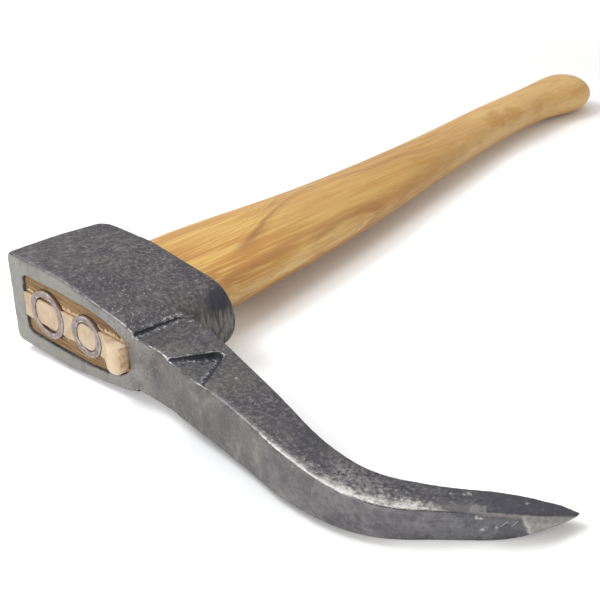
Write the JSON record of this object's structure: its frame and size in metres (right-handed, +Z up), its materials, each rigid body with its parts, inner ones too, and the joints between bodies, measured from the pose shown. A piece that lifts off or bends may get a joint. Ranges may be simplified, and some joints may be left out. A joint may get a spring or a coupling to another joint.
{
  "type": "pickaroon",
  "caption": "Short-handled pickaroon: forged steel head with a long bent pointed beak, wedged on a curved hickory haft, lying on its side.",
  "frame": {"origin": "middle of the tool's outline on the surface it lies on", "axes": "+X from the head's crown face down the haft to the knob, +Y from the beak's point towards the poll, +Z up"},
  "size_m": [0.4618, 0.2533, 0.0475],
  "materials": {
    "forged_steel": "dark forge scale, ground satin on the crown face",
    "hickory": "oiled",
    "wedge_wood": "bare",
    "ring_steel": "dull"
  },
  "bodies": {
    "root": {"head": "forged_steel", "haft": "hickory", "eye_wedge": "wedge_wood", "ring_wedge_large": "ring_steel", "ring_wedge_small": "ring_steel"}
  },
  "joints": []
}
